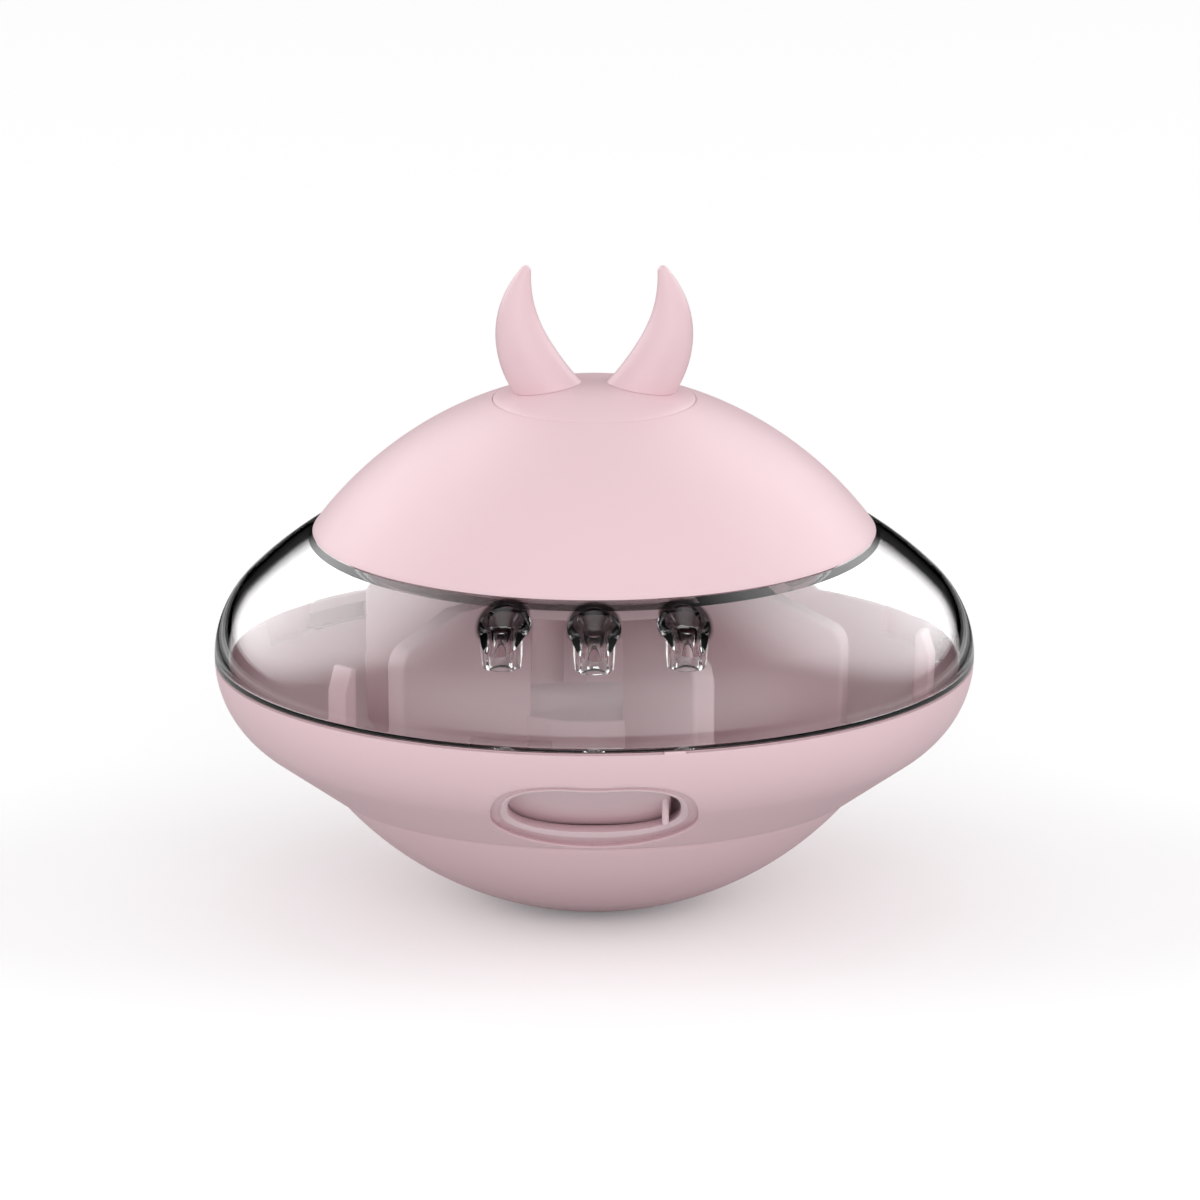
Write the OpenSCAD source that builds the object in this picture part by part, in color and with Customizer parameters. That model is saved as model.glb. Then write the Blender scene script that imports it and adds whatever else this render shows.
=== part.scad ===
// Wobble treat dispenser toy: a saucer-shaped bowl on a weighted round base, a clear cover
// and a twist lid with horns.
// The toy stands at the origin, +Z is up, and the treat outlet faces -Y. Lengths are in millimetres.
// A bearing is counted from the outlet (0) towards +X (90).

/* [Body] */
// Diameter at the equator
body_d = 120; // [114:1:128]
// Height of the equator above the floor
equator_z = 40; // [38:0.5:43]
// How far the parting line between bowl and cover lies below the equator
parting_drop = 0.5; // [0.2:0.1:1]
// Radius of the rounded side at the equator
side_r = 16; // [15:0.5:18]

/* [Bowl] */
// Angle below the equator where the rounded side turns straight
bowl_slope = 55; // [52:1:58]
// Height of the seam between bowl and base
seam_z = 19.3; // [18:0.1:20.5]
// Wall thickness of the bowl
bowl_wall = 2.4; // [2:0.1:2.8]
// Thickness of the bowl's floor
floor_t = 2; // [1.6:0.1:2.4]
// How far the floor's underside dips below the seam
floor_drop = 1.2; // [0.8:0.1:1.5]
// Width of a guide tab
tab_w = 4; // [3:0.5:5]
// Thickness of a guide tab
tab_t = 2.4; // [2:0.1:3]
// Height of a guide tab above the parting line
tab_h = 7.5; // [6:0.5:8.5]
// Height of the lead-in chamfer on a guide tab
tab_chamfer = 3.5; // [2:0.5:5]

/* [Base] */
// Radius of the round rocking face
base_r = 54; // [52:0.5:58]
// Diameter of the flat spot that the toy rests on
flat_d = 14; // [8:1:18]
// Wall thickness of the base
base_wall = 2.6; // [2.2:0.1:3]
// Radius of the circle of base screws
base_screw_circle = 24; // [22.5:0.5:26]
// Height where the screw posts of base and bowl meet
post_z = 12; // [11:0.5:13]
// Radius of the counterweight
weight_r = 18.3; // [15:0.1:18.6]
// Height of the counterweight's top
weight_top_z = 11; // [9:0.5:12]

/* [Outlet] */
// Width of the treat slot
slot_w = 27.2; // [24:0.2:28]
// Height of the treat slot
slot_h = 9.2; // [8:0.1:9.4]
// Height of the slot's middle above the floor
slot_z = 28.2; // [28:0.1:28.4]
// Width of the bezel's face at the slot's ends
bezel_margin = 2.5; // [2.2:0.1:3]
// Height of the bezel's face above the slot
bezel_top = 1.2; // [1:0.1:1.3]
// Height of the bezel's face below the slot
bezel_low = 2.8; // [2.2:0.1:3]
// How far the bezel's face lies below the bowl's outer surface
bezel_recess = 0.8; // [0.5:0.1:1.1]
// Width of the raised lip round the slot
lip_w = 1.1; // [0.8:0.1:1.4]
// Height of the raised lip
lip_h = 0.5; // [0.3:0.1:0.6]
// Thickness of the gate
gate_t = 1.6; // [1.2:0.1:1.8]
// Distance of the gate's finger rib from the middle when closed
rib_x = 11.1; // [10:0.1:11.4]
// Width of the finger rib
rib_w = 1.1; // [0.9:0.1:1.5]
// Travel of the gate from closed to open, in degrees
gate_travel = 22; // [16:1:22]

/* [Baffle] */
// Gap between the gate's guide and the vanes on both sides of it
vane_gap = 0.6; // [0.4:0.1:1]
// Turn from the vane on the outlet's left to the one behind it
back_vane_turn = 72; // [60:1:84]
// Thickness of a vane
vane_t = 3.8; // [3:0.1:4]
// Radius of the vanes' outer edges
vane_r = 41.4; // [38:0.1:42]
// Height of the vanes' outer corners above the floor
vane_corner_z = 48; // [45:0.5:49]
// Height of the vanes' inner tops above the floor
vane_top_z = 51.6; // [50:0.1:52]
// Radius of the hub
hub_r = 16; // [13:0.5:18]
// Height of the hub's top above the floor
hub_top_z = 31.7; // [29:0.1:36]
// Wall thickness of the hub
hub_wall = 2; // [1.6:0.1:2.4]

/* [Cover] */
// Wall thickness of the clear cover
cover_wall = 2.2; // [1.8:0.1:2.6]
// Angle above the equator where the cover's side flattens
cover_turn = 45; // [42:1:48]
// Radius of the cover's upper slope
cover_r = 60; // [50:1:90]
// Thickness of the ledge that carries the lid
ledge_t = 2; // [1.6:0.1:2.4]
// Depth of the tongues that drop from the cover into the bowl
tongue_h = 3.9; // [3.6:0.1:4.1]
// Thickness of a tongue
tongue_t = 1.6; // [1.2:0.1:2]
// Turn that one tongue takes up
tongue_turn = 13; // [9:1:14]
// Bearing of the first tongue when the cover is locked
tongue_bearing = -13; // [-18:1:-10]
// How far the bayonet lugs stand out of the tongues
cover_lug = 1.5; // [1.2:0.1:1.6]
// Turn that frees the cover from the bowl
cover_twist = 12; // [10:1:14]
// Bearings of the scent tubes
tube_bearings = [-17, 0, 17]; // [-180:1:180]
// Radius of the circle that the scent tubes stand on
tube_circle = 48.6; // [47.5:0.1:49.5]
// Outer diameter of a scent tube
tube_d = 5.8; // [5:0.1:6.4]
// Bore of a scent tube
tube_bore = 3.6; // [2.6:0.1:4]
// Height of the scent tubes' lower ends above the floor
tube_end_z = 49.4; // [48.8:0.1:51]

/* [Lid] */
// Radius of the lid's rim
lid_r = 44.5; // [43.5:0.1:46]
// Radius of the dome near its rim
dome_side_r = 60; // [56:1:72]
// Radius of the dome's top
dome_top_r = 48; // [44:1:52]
// Angle above the horizon where the two dome radii meet
dome_split = 70; // [66:1:74]
// Wall thickness of the dome
lid_wall = 2.2; // [1.8:0.1:2.6]
// Outer radius of the collar that plugs into the cover
collar_r = 31; // [30:0.1:31.6]
// Wall thickness of the collar
collar_wall = 1.8; // [1.4:0.1:2.2]
// Depth of the collar below the cover's ledge top
collar_h = 7.1; // [6.2:0.1:7.4]
// How far the collar's bayonet lugs stand out
lid_lug = 1.5; // [1.2:0.1:1.8]
// Turn that frees the lid from the cover
lid_twist = 35; // [30:1:40]

/* [Horns] */
// Radius of the cap that carries the horns
cap_r = 16; // [15.4:0.1:16.3]
// Thickness of the cap at its edge
cap_edge = 1.6; // [1.2:0.1:2]
// Distance from the middle to a horn's root
horn_root_x = 8.2; // [7.6:0.1:8.3]
// Distance from the middle to the point that bows a horn outwards
horn_bow_x = 14.4; // [12:0.1:17]
// Distance from the middle to a horn's tip
horn_tip_x = 10.8; // [8:0.1:14]
// Height of a horn's tip above the dome
horn_h = 18.8; // [14:0.1:24]
// Height of the bowing point above the dome
horn_bow_h = 8.5; // [7:0.1:12]
// Diameter of a horn at its root
horn_root_d = 9.5; // [9:0.1:10.5]
// Diameter of a horn near its tip
horn_tip_d = 1.8; // [1:0.1:2.4]
// How late a horn thins towards its tip, where 1 is an even taper
horn_taper = 1.85; // [1:0.05:2.2]

/* [Fasteners and fits] */
// Radius of a large screw's shank
screw_r = 1.2; // [1:0.05:1.3]
// Radius of a large screw's head
head_r = 2.7; // [2.4:0.1:2.8]
// Height of a large screw's head
head_h = 2; // [1.6:0.1:2.2]
// Radius of a small screw's shank
small_screw_r = 1; // [0.8:0.05:1.1]
// Radius of a small screw's head
small_head_r = 2.1; // [1.8:0.1:2.2]
// Height of a small screw's head
small_head_h = 1.5; // [1.2:0.1:1.6]
// Running gap between pieces that move past each other
run_gap = 0.3; // [0.2:0.05:0.35]
// Assembly gap between fixed pieces
fit_gap = 0.05; // [0.03:0.01:0.1]

/* [Hidden] */
$fn = 96;

pink = [0.93, 0.80, 0.82];
pink_deep = [0.88, 0.75, 0.77];
steel = [0.72, 0.73, 0.75];
arc_steps = 16;
past = 1;                                           // how far a cut runs past a face
third_turns = [0, 120, 240];

// Heights that the pieces share
parting_z = equator_z - parting_drop;
floor_under_z = seam_z - floor_drop;
floor_z = floor_under_z + floor_t;
side_c = [body_d / 2 - side_r, equator_z];

// Base
flat_r = flat_d / 2;
base_c_z = sqrt(base_r * base_r - flat_r * flat_r);
base_in_r = base_r - base_wall;
head_pocket_gap = 0.5;
head_pocket_r = head_r + head_pocket_gap;
post_wall = 1.4;
base_post_r = head_pocket_r + post_wall;
bowl_post_r = 3.6;
clear_hole_r = screw_r + 0.35;
pilot_r = screw_r + fit_gap;
head_seat = 3;
head_seat_z = post_z - head_seat;
base_screw_bearings = [60, 180, 300];
screw_tip_gap = 1.4;
base_screw_tip_z = floor_z - screw_tip_gap;
spigot_base_r = base_inside_r(floor_under_z) - run_gap;
weight_post_r = 3;
weight_post_z = weight_top_z - 0.8;
washer_r = 7;
washer_t = 1.2;
weight_screw_tip_z = 5;

// Outlet, as depths below the bowl's outer surface
flange_t = 1;
flange_margin = 1;
guide_t = 1.6;
gate_in = bowl_wall + fit_gap + flange_t + run_gap;
gate_out = gate_in + gate_t;
guide_in = gate_out + run_gap;
guide_out = guide_in + guide_t;
gate_over = 1.2;
gate_under = 0.6;
gate_top_z = slot_z + slot_h / 2 + gate_over;
gate_low_z = slot_z - slot_h / 2 - gate_under;
guide_rail = 1;
guide_top_z = gate_top_z + run_gap + guide_rail;
guide_foot_r = bowl_line_r(guide_out, floor_z);
gate_mid_r = bowl_line_r(gate_in, slot_z);
slot_half = asin(slot_w / 2 / gate_mid_r);
gate_side_turn = 2;
gate_left = -slot_half - gate_side_turn;
slack = 0.6;                                        // spare turn at each end of the gate's channel
guide_left_turn = 3;
guide_right_turn = 3.4;
guide_left = gate_left - gate_travel - slack - guide_left_turn;
guide_right = slot_half + guide_right_turn;
rib_trim = 1.2;
rib_low_z = slot_z - slot_h / 2 + rib_trim;
rib_depth = 0.2;
rib_front = sqrt(pow(bowl_line_r(rib_depth, rib_low_z), 2) - rib_x * rib_x);
rib_land = 0.3;                                     // how far the gate reaches past its rib
window_trim = 1.2;
face_w = slot_w + 2 * bezel_margin;
face_h = slot_h + bezel_top + bezel_low;
face_z = slot_z + (bezel_top - bezel_low) / 2;
lip_top = bezel_top * 0.6;
lip_low = bezel_low * 0.55;
bezel_gap = 0.2;

// Baffle
vane_foot_r = min(vane_r, bowl_line_r(bowl_wall + run_gap, floor_z));
vane_foot_h = (vane_r - vane_foot_r) / tan(bowl_slope);
vane_slope = 11.4;
vane_slope_r = vane_r - vane_slope;
vane_round = 3;
vane_turn = asin((vane_t / 2 + vane_gap) / guide_foot_r);
left_vane = guide_left - vane_turn;
right_vane = guide_right + vane_turn;
vane_bearings = [left_vane - back_vane_turn, left_vane, right_vane, left_vane + 120, left_vane + 240];
tab_bearings = [for (a = third_turns) left_vane + a];
hub_post_r = 3.4;
hub_top_t = 1.8;

// Cover
cover_c = side_c + (side_r - cover_r) * [cos(cover_turn), sin(cover_turn)];
shoulder_a = acos((lid_r - cover_c[0]) / cover_r);
shoulder_z = cover_c[1] + cover_r * sin(shoulder_a);
ledge_low_z = shoulder_z - ledge_t;
tongue_z = parting_z - tongue_h;
tongue_r = bowl_inside_r(tongue_z) - run_gap;
tongue_root_t = 1.6;
tongue_bearings = [for (a = third_turns) tongue_bearing + a];
tube_stem = 3;
tube_flare = shoulder_z - tube_end_z - tube_stem;
cover_lug_r = tongue_r + cover_lug;
cover_lug_z = tongue_z + 0.2;
cover_lug_h = 1.8;
tab_r = tongue_r - tongue_t - run_gap;
neck_r = collar_r + run_gap;

// Lid
lid_gap = 0.15;
lid_z = shoulder_z + lid_gap;
dome_shift = (dome_top_r - dome_side_r) * cos(dome_split);
rim_a = acos((lid_r - dome_shift) / dome_side_r);
dome_c = [dome_shift, lid_z - dome_side_r * sin(rim_a)];
dome_top_c = [0, dome_c[1] - (dome_top_r - dome_side_r) * sin(dome_split)];
apex_z = dome_top_c[1] + dome_top_r;
seal_t = 1.3;
seal_w = 2;
collar_flange_z = lid_z + seal_t;
collar_flange_t = 2.4;
collar_flange_r = dome_inside_r(collar_flange_z + collar_flange_t) - run_gap;
collar_screw_circle = (collar_r + seal_w + collar_flange_r) / 2;
collar_in_r = collar_r - collar_wall;
lid_lug_h = 2;
lid_lug_turn = 20;
lid_lug_z = ledge_low_z - run_gap - lid_lug_h;
collar_boss_r = 2.8;
collar_boss_z = collar_flange_z + collar_flange_t;
collar_pilot_z = dome_inside_z(collar_screw_circle + small_screw_r + fit_gap);
collar_tip_gap = 0.4;
collar_screw_bearings = [0, 120, 240];

// Horn cap
cap_gap = 0.2;
cap_seat_z = dome_outside_z(cap_r) - cap_edge;
cap_seat_w = 3;
cap_seat_t = 2.2;
cap_spigot_r = cap_r - cap_seat_w - cap_gap;
retainer_r = cap_r - 0.5;
retainer_t = 1.4;
retainer_z = cap_seat_z - cap_seat_t;
cap_screw_y = 8.5;
cap_screw_grip = 3.4;
cap_pilot = cap_screw_grip + 0.6;
plug_r = 3.1;
plug_foot_r = 4;
plug_foot_h = 1;
horn_rings = 18;
horn_sides = 24;
horn_start = -0.3;                                  // where the root starts, below the cap's surface

// Points along an arc in the plane of a turned profile
function arc(c, r, a0, a1) = [for (i = [0:arc_steps]) c + r * [cos(a0 + (a1 - a0) * i / arc_steps),
                                                               sin(a0 + (a1 - a0) * i / arc_steps)]];
function reversed(points) = [for (i = [len(points) - 1:-1:0]) points[i]];

// The bowl's side at a depth below its outer surface, from a height down to another
function bowl_tangent(depth) = side_c + (side_r - depth) * [cos(bowl_slope), -sin(bowl_slope)];
function bowl_line_r(depth, z) = bowl_tangent(depth)[0] - (bowl_tangent(depth)[1] - z) * tan(bowl_slope);
function bowl_curve(depth, z_high, z_low) =
    concat(arc(side_c, side_r - depth, -asin((equator_z - z_high) / (side_r - depth)), -bowl_slope),
           [[bowl_line_r(depth, z_low), z_low]]);
function bowl_inside_r(z) = side_c[0] + sqrt(pow(side_r - bowl_wall, 2) - pow(equator_z - z, 2));

function base_inside_r(z) = sqrt(base_in_r * base_in_r - pow(base_c_z - z, 2));

// The cover's side at a depth below its outer surface, from a height up to another
function cover_curve(depth, z_low, z_high) =
    concat(arc(side_c, side_r - depth, asin((z_low - equator_z) / (side_r - depth)), cover_turn),
           arc(cover_c, cover_r - depth, cover_turn, asin((z_high - cover_c[1]) / (cover_r - depth))));

// The dome at a depth below its outer surface, from a height up to the axis
function dome_curve(depth, z_low) =
    concat(arc(dome_c, dome_side_r - depth, asin((z_low - dome_c[1]) / (dome_side_r - depth)), dome_split),
           arc(dome_top_c, dome_top_r - depth, dome_split, 90));
function dome_inside_r(z) = dome_c[0] + sqrt(pow(dome_side_r - lid_wall, 2) - pow(z - dome_c[1], 2));
function dome_inside_z(r) = dome_c[1] + sqrt(pow(dome_side_r - lid_wall, 2) - pow(r - dome_c[0], 2));
function dome_outside_z(r) = dome_top_c[1] + sqrt(dome_top_r * dome_top_r - r * r);

// Turns a child that points along +X to a bearing
module at_bearing(a) {
    rotate([0, 0, a - 90]) children();
}

// A turned sector of a profile between two bearings
module sector(from, to) {
    at_bearing(from) rotate_extrude(angle = to - from) children();
}

// A bar with round ends, cut horizontally through the front of the bowl
module front_stadium(w, h, z) {
    translate([0, -guide_foot_r, 0]) rotate([90, 0, 0]) linear_extrude(height = body_d) translate([0, z]) {
        square([w - h, h], center = true);
        for (side = [-1, 1]) translate([side * (w - h) / 2, 0]) circle(d = h);
    }
}

// The profile of a shell that follows the bowl's side between two depths
module bowl_shell_profile(outer, inner, z_high, z_low) {
    polygon(concat(bowl_curve(outer, z_high, z_low), reversed(bowl_curve(inner, z_high, z_low))));
}

// A plain screw with its head below the shank, standing on z = 0
module screw(shank_r, top_r, top_h, length) {
    cylinder(r = top_r, h = top_h);
    cylinder(r = shank_r, h = top_h + length);
}

module base_solid_profile(r) {
    intersection() {
        translate([0, base_c_z]) circle(r = r, $fn = 180);
        square([base_r, seam_z]);
    }
}

module base_cap() {
    color(pink_deep) difference() {
        union() {
            rotate_extrude() difference() {
                base_solid_profile(base_r);
                translate([0, base_c_z]) circle(r = base_in_r, $fn = 180);
            }
            intersection() {
                rotate_extrude() base_solid_profile(base_r);
                union() {
                    for (a = base_screw_bearings) at_bearing(a) translate([base_screw_circle, 0, 0])
                        cylinder(r = base_post_r, h = post_z);
                    translate([0, 0, base_wall / 2])
                        cylinder(r = weight_post_r, h = weight_post_z - base_wall / 2);
                }
            }
        }
        for (a = base_screw_bearings) at_bearing(a) translate([base_screw_circle, 0, 0]) {
            translate([0, 0, -past]) cylinder(r = head_pocket_r, h = head_seat_z + past);
            cylinder(r = clear_hole_r, h = post_z + past);
        }
        translate([0, 0, weight_screw_tip_z - past]) cylinder(r = pilot_r, h = weight_top_z);
    }
}

module counterweight() {
    color([0.25, 0.25, 0.26]) rotate_extrude() difference() {
        intersection() {
            translate([0, base_c_z]) circle(r = base_in_r - run_gap, $fn = 180);
            square([weight_r, weight_top_z]);
        }
        square([weight_post_r + run_gap, weight_top_z + past]);
    }
}

module weight_washer() {
    color(steel) translate([0, 0, weight_top_z]) difference() {
        cylinder(r = washer_r, h = washer_t);
        translate([0, 0, -past]) cylinder(r = clear_hole_r, h = washer_t + 2 * past);
    }
}

module weight_screw() {
    seat_z = weight_top_z + washer_t;
    color(steel) translate([0, 0, seat_z + head_h]) mirror([0, 0, 1])
        screw(screw_r, head_r, head_h, seat_z - weight_screw_tip_z);
}

module base_screws() {
    color(steel) for (a = base_screw_bearings)
        at_bearing(a) translate([base_screw_circle, 0, head_seat_z - head_h])
            screw(screw_r, head_r, head_h, base_screw_tip_z - head_seat_z);
}

module base_plugs() {
    color(pink_deep) intersection() {
        rotate_extrude() base_solid_profile(base_r);
        for (a = base_screw_bearings) at_bearing(a) translate([base_screw_circle, 0, 0])
            cylinder(r = head_pocket_r - fit_gap, h = head_seat_z - head_h - fit_gap);
    }
}

// The groove that one cover lug turns in, with its way in from the rim
module lug_groove(bearing) {
    groove_r = cover_lug_r + run_gap;
    half = tongue_turn / 2 + 0.5;
    low_z = cover_lug_z - run_gap;
    high_z = cover_lug_z + cover_lug_h + run_gap;
    way_z = low_z - 0.1;
    way_r = groove_r + 0.1;
    sector(bearing - half, bearing + cover_twist)
        translate([tongue_r - past, low_z]) square([groove_r - tongue_r + past, high_z - low_z]);
    sector(bearing + cover_twist - half, bearing + cover_twist + half)
        translate([tongue_r - past, way_z]) square([way_r - tongue_r + past, parting_z + past - way_z]);
}

// One upright tab that leads the cover's tongues onto the rim
module guide_tab() {
    inner_r = tab_r - tab_t;
    foot = bowl_wall / 2;
    top_z = parting_z + tab_h;
    rotate([90, 0, 0]) linear_extrude(height = tab_w, center = true)
        polygon([[inner_r, bowl_foot_z(inner_r, foot)], [tab_r, bowl_foot_z(tab_r, foot)],
                 [tab_r, top_z - tab_chamfer], [tab_r - tab_t / 2, top_z], [inner_r, top_z]]);
}
// Height of the bowl's side at a radius and a depth below its outer surface
function bowl_foot_z(r, depth) = r > bowl_tangent(depth)[0]
    ? equator_z - sqrt(pow(side_r - depth, 2) - pow(r - side_c[0], 2))
    : bowl_tangent(depth)[1] - (bowl_tangent(depth)[0] - r) / tan(bowl_slope);

module bowl() {
    color(pink) difference() {
        union() {
            rotate_extrude() polygon(concat(bowl_curve(0, parting_z, seam_z),
                                            [[spigot_base_r, seam_z], [spigot_base_r, floor_under_z],
                                             [0, floor_under_z], [0, floor_z]],
                                            reversed(bowl_curve(bowl_wall, parting_z, floor_z))));
            for (a = base_screw_bearings) at_bearing(a) translate([base_screw_circle, 0, post_z])
                cylinder(r = bowl_post_r, h = floor_z - floor_t / 2 - post_z);
            for (a = tab_bearings) at_bearing(a) guide_tab();
        }
        front_stadium(face_w, face_h, face_z);
        for (a = tongue_bearings) lug_groove(a);
        for (a = base_screw_bearings) at_bearing(a) translate([base_screw_circle, 0, post_z - past])
            cylinder(r = pilot_r, h = base_screw_tip_z + fit_gap - post_z + past);
        translate([0, 0, floor_under_z - past]) cylinder(r = clear_hole_r, h = floor_t + 2 * past);
    }
}

module outlet_bezel() {
    depth = bowl_wall + fit_gap;
    high_z = parting_z - past;
    low_z = floor_z + fit_gap;
    color(pink_deep) difference() {
        union() {
            intersection() {
                rotate_extrude() bowl_shell_profile(bezel_recess, depth + flange_t, high_z, low_z);
                front_stadium(face_w - 2 * bezel_gap, face_h - 2 * bezel_gap, face_z);
            }
            intersection() {
                rotate_extrude() bowl_shell_profile(depth, depth + flange_t, high_z, low_z);
                front_stadium(face_w + 2 * flange_margin, face_h + 2 * flange_margin, face_z);
            }
            intersection() {
                rotate_extrude() bowl_shell_profile(bezel_recess - lip_h, depth, high_z, low_z);
                front_stadium(slot_w + 2 * lip_w, slot_h + lip_top + lip_low,
                              slot_z + (lip_top - lip_low) / 2);
            }
        }
        front_stadium(slot_w, slot_h, slot_z);
    }
}

module gate_guide() {
    depth = bowl_wall + fit_gap;
    pocket_turn = asin((face_w / 2 + flange_margin + bezel_gap) / gate_mid_r);
    color(pink_deep) difference() {
        sector(guide_left, guide_right) bowl_shell_profile(depth, guide_out, guide_top_z, floor_z);
        sector(gate_left - gate_travel - slack, slot_half + 1)
            bowl_shell_profile(depth - past, guide_in, gate_top_z + run_gap, gate_low_z - run_gap);
        sector(window_trim - slot_half, slot_half - window_trim) intersection() {
            bowl_shell_profile(depth - past, guide_out + 3 * past, parting_z - past, floor_z);
            translate([0, slot_z - slot_h / 2]) square([body_d, slot_h]);
        }
        sector(-pocket_turn, guide_right + past)
            bowl_shell_profile(depth - 2 * past, depth + flange_t + run_gap, guide_top_z + past, floor_z - past);
    }
}

// The gate with an upright finger rib, whose front edge is plumb
module outlet_gate() {
    edge_x = rib_x + rib_w / 2 + rib_land;
    color(pink_deep) {
        difference() {
            sector(gate_left, slot_half) bowl_shell_profile(gate_in, gate_out, gate_top_z, gate_low_z);
            translate([edge_x, -body_d, 0]) cube(body_d);
        }
        intersection() {
            rotate_extrude() bowl_shell_profile(-past, (gate_in + gate_out) / 2, gate_top_z, gate_low_z);
            translate([rib_x - rib_w / 2, -rib_front, rib_low_z]) cube([rib_w, rib_front, body_d]);
        }
    }
}

// One upright vane with a round outer edge, pointing along +X
module vane() {
    inner_r = hub_r - hub_wall / 2;
    end_c = vane_r - vane_t / 2;
    foot_z = floor_z + fit_gap;
    corner = 0.3 * vane_round;
    intersection() {
        translate([0, 0, floor_z - past]) linear_extrude(height = vane_top_z - floor_z + 2 * past)
            polygon(concat([[inner_r - past, vane_t / 2], [inner_r - past, -vane_t / 2]],
                           arc([end_c, 0], vane_t / 2, -90, 90)));
        rotate([90, 0, 0]) linear_extrude(height = 2 * vane_t, center = true)
            polygon([[inner_r, foot_z], [vane_foot_r, foot_z],
                     [vane_r + past, foot_z + vane_foot_h + past / tan(bowl_slope)],
                     [vane_r + past, vane_corner_z - vane_round - past * (vane_round - corner) / corner],
                     [vane_r - corner, vane_corner_z - corner], [vane_r - vane_round, vane_corner_z],
                     [vane_slope_r, vane_top_z], [inner_r, vane_top_z]]);
    }
}

module baffle() {
    color(pink) difference() {
        union() {
            rotate_extrude() polygon([[hub_r - hub_wall, floor_z], [hub_r, floor_z], [hub_r, hub_top_z],
                                      [0, hub_top_z], [0, hub_top_z - hub_top_t],
                                      [hub_r - hub_wall, hub_top_z - hub_top_t]]);
            translate([0, 0, floor_z]) cylinder(r = hub_post_r, h = hub_top_z - hub_top_t / 2 - floor_z);
            for (a = vane_bearings) at_bearing(a) vane();
        }
        translate([0, 0, floor_z - past]) cylinder(r = pilot_r, h = hub_top_z - hub_top_t - floor_z + past);
    }
}

module baffle_screw() {
    color(steel) translate([0, 0, floor_under_z - head_h])
        screw(screw_r, head_r, head_h, floor_t + (hub_top_z - floor_z) * 0.6);
}

// One clear tube that hangs from the cover's slope and lets the smell of the treats out
module scent_tube() {
    translate([tube_circle, 0, tube_end_z]) cylinder(d = tube_d, h = shoulder_z - tube_end_z);
    translate([tube_circle, 0, tube_end_z + tube_stem])
        cylinder(d1 = tube_d, d2 = tube_d + 2 * tube_flare * tan(30), h = tube_flare);
}

module cover_solid_profile(depth, z_low) {
    polygon(concat(cover_curve(depth, z_low, shoulder_z - depth), [[0, shoulder_z - depth], [0, z_low]]));
}

// One tongue with the bayonet lug on its outer side and the root that ties it to the cover's wall
module tongue_profile() {
    inner_r = tongue_r - tongue_t;
    root_r = (body_d - cover_wall) / 2;
    root_z = parting_z + fit_gap;
    top_z = parting_z + tongue_root_t;
    lug_top_z = cover_lug_z + cover_lug_h;
    polygon([[inner_r, tongue_z], [tongue_r, tongue_z], [tongue_r, cover_lug_z], [cover_lug_r, cover_lug_z],
             [cover_lug_r, lug_top_z], [tongue_r, lug_top_z], [tongue_r, root_z], [root_r, root_z],
             [root_r, top_z], [inner_r, top_z]]);
}

module clear_cover() {
    half_tongue = tongue_turn / 2;
    half_notch = lid_lug_turn / 2 + 2;
    color([0.85, 0.87, 0.88, 0.35]) difference() {
        union() {
            rotate_extrude() polygon(concat(
                cover_curve(0, parting_z, shoulder_z),
                [[neck_r, shoulder_z], [neck_r, ledge_low_z]],
                reversed(cover_curve(cover_wall, parting_z, ledge_low_z))));
            for (a = tongue_bearings) sector(a - half_tongue, a + half_tongue) tongue_profile();
            intersection() {
                rotate_extrude() cover_solid_profile(cover_wall / 2, parting_z);
                for (a = tube_bearings) at_bearing(a) scent_tube();
            }
        }
        for (a = tube_bearings) at_bearing(a) translate([tube_circle, 0, tube_end_z - past])
            cylinder(d = tube_bore, h = shoulder_z);
        for (a = third_turns) sector(a + lid_twist - half_notch, a + lid_twist + half_notch)
            translate([neck_r - past, ledge_low_z - past]) square([lid_lug + past, ledge_t + 2 * past]);
    }
}

module dome_solid_profile(depth) {
    polygon(concat(dome_curve(depth, lid_z), [[0, lid_z]]));
}

module lid_dome() {
    seat_in_r = cap_r - cap_seat_w;
    color(pink) difference() {
        union() {
            rotate_extrude() polygon(concat(dome_curve(0, lid_z), reversed(dome_curve(lid_wall, lid_z))));
            intersection() {
                rotate_extrude() dome_solid_profile(lid_wall / 2);
                union() {
                    translate([0, 0, retainer_z]) cylinder(r = cap_r + cap_seat_w, h = apex_z - retainer_z);
                    for (a = collar_screw_bearings)
                        at_bearing(a) translate([collar_screw_circle, 0, collar_boss_z])
                            cylinder(r = collar_boss_r, h = apex_z - collar_boss_z);
                }
            }
        }
        translate([0, 0, retainer_z - past]) cylinder(r = seat_in_r, h = apex_z);
        translate([0, 0, cap_seat_z]) cylinder(r = cap_r + cap_gap, h = apex_z);
        for (a = collar_screw_bearings)
            at_bearing(a) translate([collar_screw_circle, 0, collar_boss_z - past])
                cylinder(r = small_screw_r + fit_gap, h = collar_pilot_z - collar_boss_z + past);
    }
}

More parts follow.
